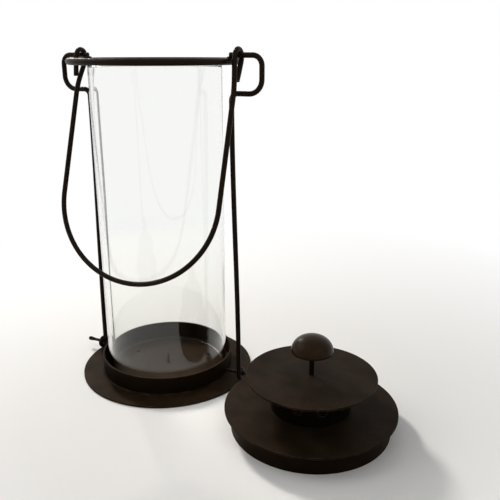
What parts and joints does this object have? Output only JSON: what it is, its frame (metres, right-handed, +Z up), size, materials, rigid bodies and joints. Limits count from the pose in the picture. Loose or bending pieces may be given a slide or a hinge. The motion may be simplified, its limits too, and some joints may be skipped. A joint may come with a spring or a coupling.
{
  "type": "lantern table lamp",
  "caption": "Table lantern for a candle: glass cylinder in a sheet metal base, wire uprights with a hoop, a hanging bail handle and a vented lid with a knob set beside it.",
  "frame": {"origin": "centre of the base plate's underside, on the table", "axes": "+X along the bail's hinge line, towards the side where the lid stands; +Y to the back; +Z up"},
  "size_m": [0.3533, 0.2015, 0.3157],
  "materials": {
    "bail_paint": "worn satin, dark brown-black",
    "chimney_paint": "worn satin, dark brown-black",
    "clear_glass": "clear",
    "collar_paint": "worn satin, dark brown-black",
    "knob_paint": "worn satin, dark brown-black",
    "lid_paint": "worn satin, dark brown-black",
    "pin_paint": "worn satin, dark brown-black",
    "plate_paint": "worn satin, dark brown-black",
    "ring_paint": "worn satin, dark brown-black",
    "spike_paint": "worn satin, dark brown-black",
    "stem_paint": "worn satin, dark brown-black",
    "wire_paint": "worn satin, dark brown-black"
  },
  "bodies": {
    "base": {"base_plate": "plate_paint", "glass_collar": "collar_paint", "candle_spike": "spike_paint", "left_hinge_pin": "pin_paint", "right_hinge_pin": "pin_paint", "left_upright": "wire_paint", "right_upright": "wire_paint", "top_ring": "ring_paint"},
    "glass": {"glass_cylinder": "clear_glass"},
    "bail": {"bail_handle": "bail_paint"},
    "lid": {"lid_skirt": "lid_paint", "lid_brim": "lid_paint", "lid_chimney": "chimney_paint", "lid_top_plate": "lid_paint", "knob_stem": "stem_paint", "knob": "knob_paint"}
  },
  "joints": [
    {"name": "bail_swing", "type": "hinge", "parent": "base", "child": "bail", "pos_m": [0, 0, 0.3086], "axis": [1, 0, 0], "range_deg": [-324, 0]},
    {"name": "glass_lift", "type": "slide", "parent": "base", "child": "glass", "axis": [0, 0, 1], "range_m": [0, 0.16]},
    {"name": "lid_lift", "type": "slide", "parent": "base", "child": "lid", "axis": [0, 0, 1], "range_m": [0, 0.15]}
  ]
}
